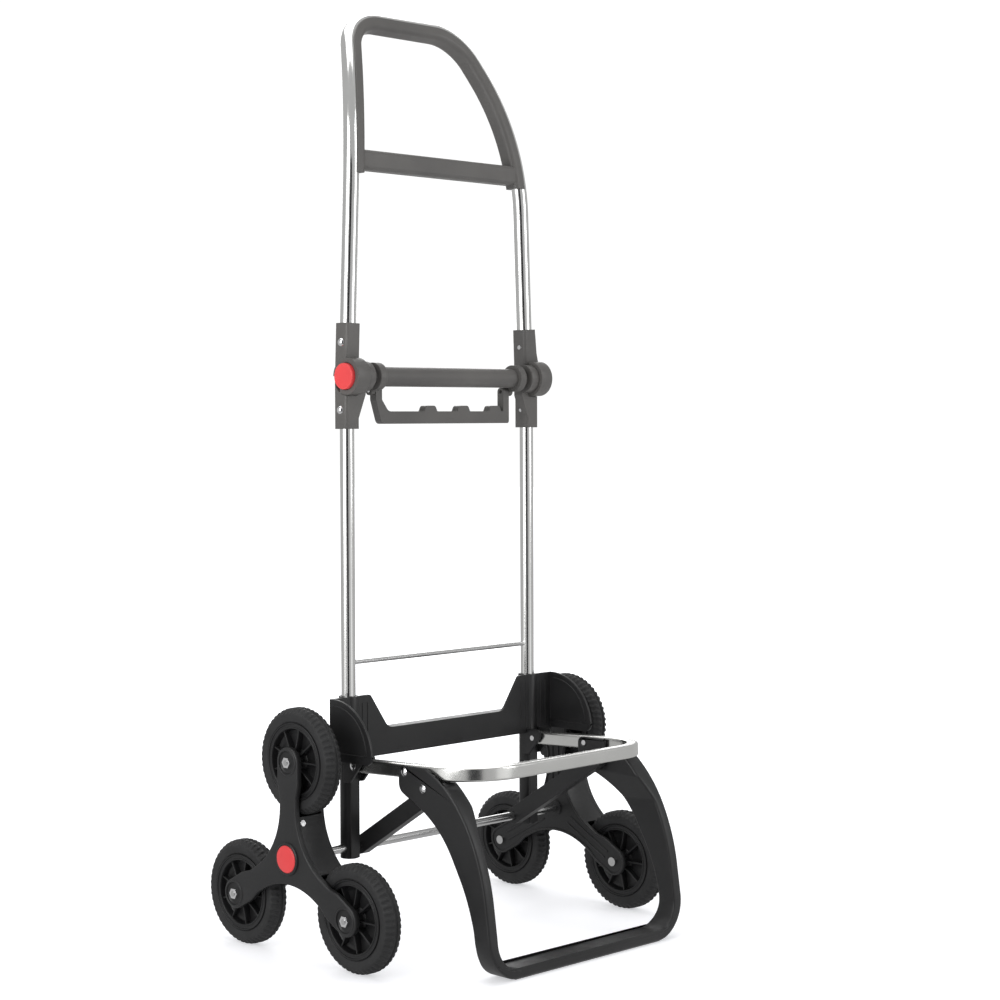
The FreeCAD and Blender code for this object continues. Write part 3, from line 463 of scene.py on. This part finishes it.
def star_cover(side_name, side, hub, body):
    """Rounded cover with a hole and a dished seat for each nut."""
    holes = [ring_points(12.4 * MM, 48, ORBIT * math.cos(turn), ORBIT * math.sin(turn))
             for turn in ARM_TURNS]
    vertices, faces = soft_slab([star_outline(0.35 * MM), *holes], FORK_OUTER - 7.2 * MM, FORK_OUTER, 1.9 * MM)
    vertices[:, 0] *= side
    cover = mesh_piece(f"tristar_cover_{side_name}_shell", vertices + hub, faces, BLACK, body)
    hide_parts(f"tristar_cover_{side_name}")
    seat = rounded_profile(in_metres([
        (-2.1, 3.0, 0), (-2.1, 10.6, 1.2), (-0.9, 12.2, 0.5), (0.9, 12.6, 0.5), (0.9, 13.9, 0.6),
        (-0.2, 14.9, 0.6), (-1.6, 14.9, 0), (-4.6, 12.0, 0), (-4.6, 3.0, 0)]), closed=True)
    for wheel in WHEELS:
        centre = np.array(JOINTS[f"wheel_{wheel}_{side_name}_roll"]["pos_m"])
        centre[0] = side * FORK_OUTER
        turned_piece(f"nut_seat_{wheel}_{side_name}", seat * np.array([side, 1]), centre, BLACK, body,
                     around=64)


def hub_cap(side_name, side, body):
    """Raised ring round the hub, and a red cap with a low crown and a round edge."""
    place = np.array([side * FORK_OUTER, AXLE_Y, HUB_Z])
    collar = rounded_profile(in_metres([
        (-0.8, 14.6, 0), (2.0, 14.6, 0.4), (2.4, 16.0, 0.6), (1.6, 17.6, 0.8), (-0.8, 18.0, 0)]), closed=True)
    turned_piece(f"hub_ring_{side_name}", collar * np.array([side, 1]), place, BLACK, body)
    crown = np.linspace(0.05, 13.4, 12)
    radius = np.concatenate([crown, [14.3, 14.9, 15.0, 15.0, 14.0, 0.05]]) * MM
    height = np.concatenate([4.3 - 1.2 * (crown / 13.4) ** 2, [2.8, 2.0, 1.2, -1.0, -1.6, -1.6]]) * MM
    dome = np.stack([side * height, radius], axis=1)
    cap = turned_piece(f"hub_cap_{side_name}_dome", dome, place, RED, body)
    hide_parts(f"hub_cap_{side_name}")


def fork_relief(side_name, side, hub, body):
    """Raised rim along the fork's inner face, and two ribs along each arm."""
    inset = star_outline(-1.5 * MM)
    path = np.column_stack([np.full(len(inset), side * FORK_INNER), inset]) + hub
    bead(f"fork_rim_{side_name}", path, 1.5 * MM, BLACK, body, closed=True)
    reach = np.linspace(24 * MM, ORBIT - 13 * MM, 6)
    for number, turn in enumerate(ARM_TURNS):
        for letter, shift in (("a", -4.5 * MM), ("b", 4.5 * MM)):
            line = np.column_stack([
                np.full(len(reach), side * FORK_INNER),
                reach * math.cos(turn) - shift * math.sin(turn),
                reach * math.sin(turn) + shift * math.cos(turn)]) + hub
            bead(f"fork_rib_{side_name}_{number}_{letter}", line, 1.1 * MM, BLACK, body)


def tri_star(side_name, side):
    """The visible shapes of one tri-star: cover, hub cap and fork relief."""
    body = f"tristar_{side_name}"
    hub = np.array([0, AXLE_Y, HUB_Z])
    star_cover(side_name, side, hub, body)
    hub_cap(side_name, side, body)
    fork_relief(side_name, side, hub, body)


# ---------------------------------------------------------------- base bracket

def bracket_relief():
    """Raised rim round each fender, near its round front edge, and fine upright ribs on the wide panel."""
    low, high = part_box("base_bracket")
    top, front, wall, wall_thickness = high[2], low[1], high[0], 3 * MM
    rim_line = rounded_profile([
        (front + 0.062, top - 0.007, 0), (front + 0.008, top - 0.007, 0.050),
        (front + 0.008, low[2] + 0.012, 0.006), (front + 0.062, low[2] + 0.012, 0)])
    panel_y = AXLE_Y - 9 * MM
    for side_name, side in SIDES:
        for face, x in (("out", wall), ("in", wall - wall_thickness)):
            path = np.column_stack([np.full(len(rim_line), side * x), rim_line])
            bead(f"fender_rim_{face}_{side_name}", path, 0.7 * MM, BLACK, "frame")
        for number, x in enumerate((0.126, 0.134, 0.160, 0.168)):
            line = [(side * x, panel_y, z) for z in np.linspace(low[2] + 0.006, top - 0.008, 4)]
            bead(f"panel_rib_{side_name}_{number}", line, 0.6 * MM, BLACK, "frame")


# ---------------------------------------------------------------- studio

def aim(thing, place, target):
    """Puts a thing at a place, facing a target, and adds it to the scene."""
    thing.location = place
    thing.rotation_euler = (Vector(target) - Vector(place)).to_track_quat("-Z", "Y").to_euler()
    bpy.context.scene.collection.objects.link(thing)


def flat_sheet(name, wide, tall):
    """Flat rectangle in X and Y about its origin, not yet in the scene."""
    mesh = bpy.data.meshes.new(name)
    x, y = wide / 2, tall / 2
    mesh.from_pydata([(-x, -y, 0), (x, -y, 0), (x, y, 0), (-x, y, 0)], [], [(0, 1, 2, 3)])
    return bpy.data.objects.new(name, mesh)


def area_light(name, place, target, size, power):
    """Rectangular soft white light at a place, aimed at a target."""
    data = bpy.data.lights.new(name, "AREA")
    data.shape = "RECTANGLE"
    data.size, data.size_y = size
    data.energy = power
    aim(bpy.data.objects.new(name, data), place, target)


def reflector(name, place, target, size, colour, strength):
    """Card that shows only in reflections."""
    card = flat_sheet(name, *size)
    aim(card, place, target)
    material, tree, shader = new_material(name, (0, 0, 0), 1.0, specular=0.0)
    tone = spread(tree, object_noise(tree, 0.8, 2.0), 0.9 * strength, 1.1 * strength)
    shader.inputs["Emission Color"].default_value = (*colour, 1.0)
    tree.links.new(tone, shader.inputs["Emission Strength"])
    paint(card, material)
    card.visible_camera = False
    card.visible_diffuse = False
    card.visible_shadow = False


def pale_floor():
    """Wide floor whose own glow grows with the distance from the trolley, and that metal doesn't mirror."""
    pale, paler = (0.66, 0.66, 0.68), (0.67, 0.67, 0.685)
    floor = flat_sheet("studio_floor", 24.0, 24.0)
    bpy.context.scene.collection.objects.link(floor)
    material, tree, shader = new_material("pale floor", pale, 0.6, specular=0.1)
    tone = spread(tree, object_noise(tree, 3.0, 2.0), 0.0, 1.0)
    tree.links.new(blend_colours(tree, tone, pale, paler), shader.inputs["Base Color"])
    place = tree.nodes.new("ShaderNodeTexCoord")
    away = tree.nodes.new("ShaderNodeVectorMath")
    away.operation = "LENGTH"
    tree.links.new(place.outputs["Object"], away.inputs[0])
    glow = map_range(tree, away.outputs["Value"], (0.5, 2.2), (0.50, 1.0))
    tree.links.new(glow, shader.inputs["Emission Strength"])
    shader.inputs["Emission Color"].default_value = (0.97, 0.98, 1.0, 1.0)
    paint(floor, material)
    floor.visible_glossy = False


def surroundings():
    """White world that looks brighter to the camera than it lights the trolley."""
    world = bpy.data.worlds.new("studio")
    bpy.context.scene.world = world
    world.use_nodes = True
    tree = world.node_tree
    background = tree.nodes["Background"]
    background.inputs["Color"].default_value = (1, 1, 1, 1)
    path = tree.nodes.new("ShaderNodeLightPath")
    level = map_range(tree, path.outputs["Is Camera Ray"], (0.0, 1.0), (0.50, 1.05))
    tree.links.new(level, background.inputs["Strength"])


def studio():
    """Bright floor, white surroundings, soft lights, and cards that put bands in the metal's reflections."""
    bpy.context.scene.view_settings.view_transform = "Standard"
    pale_floor()
    surroundings()
    target = (0, 0, 0.45)
    area_light("left_softbox", (-2.6, -0.2, 1.3), target, (1.2, 2.4), 36)
    area_light("right_softbox", (1.4, -2.7, 1.5), target, (1.2, 2.4), 26)
    area_light("top_softbox", (0.2, 0.3, 3.0), target, (2.6, 2.6), 44)
    area_light("rear_softbox", (1.8, 2.2, 1.6), target, (1.6, 2.0), 24)
    reflector("dark_band", (-2.6, -2.75, 0.4), (0, 0, 0.6), (1.7, 4.6), (0.02, 0.02, 0.022), 1.0)
    reflector("left_card", (-3.2, 0.6, 0.6), target, (1.6, 3.0), (1.0, 1.0, 1.0), 1.0)
    reflector("front_card", (0.7, -3.3, 0.3), target, (1.8, 2.0), (1.0, 1.0, 1.0), 0.85)
def camera():
    """Camera low at the front left of the trolley, with a long lens."""
    yaw, pitch, roll = math.radians(42.01), math.radians(-1.311), math.radians(-0.347)
    place = Vector((-1.7097, -1.6836 + AXLE_Y, 0.5806))
    forward = Vector((math.sin(yaw) * math.cos(pitch), math.cos(yaw) * math.cos(pitch), math.sin(pitch)))
    level = Vector((math.cos(yaw), -math.sin(yaw), 0))
    up = level.cross(forward)
    right = level * math.cos(roll) + up * math.sin(roll)
    above = up * math.cos(roll) - level * math.sin(roll)
    data = bpy.data.cameras.new("camera")
    data.sensor_width = 36
    data.lens = 74.93
    data.shift_x = 0.1842
    data.shift_y = -0.0295
    turn = Matrix((right, above, -forward)).transposed().to_4x4()
    eye = bpy.data.objects.new("camera", data)
    eye.matrix_world = Matrix.Translation(place) @ turn
    bpy.context.scene.collection.objects.link(eye)
    bpy.context.scene.camera = eye


paint_frame()
for side_word, side in SIDES:
    for wheel_word in WHEELS:
        tyre(side_word, wheel_word)
        rim(side_word, wheel_word)
    tri_star(side_word, side)
    for part_name, width in (("foot", 1.0), ("upper_sleeve", 1.1), ("lower_sleeve", 1.1), ("strut", 1.2),
                             ("tristar_fork", 0.6)):
        soften(f"{part_name}_{side_word}", width * MM)
bracket_relief()
soften("leg_loop", 2.6 * MM, 4, clamp=False)
soften("base_bracket", 0.9 * MM)
soften("comb_grip", 1.0 * MM)
soften("platform_bar", 0.8 * MM)
studio()
camera()
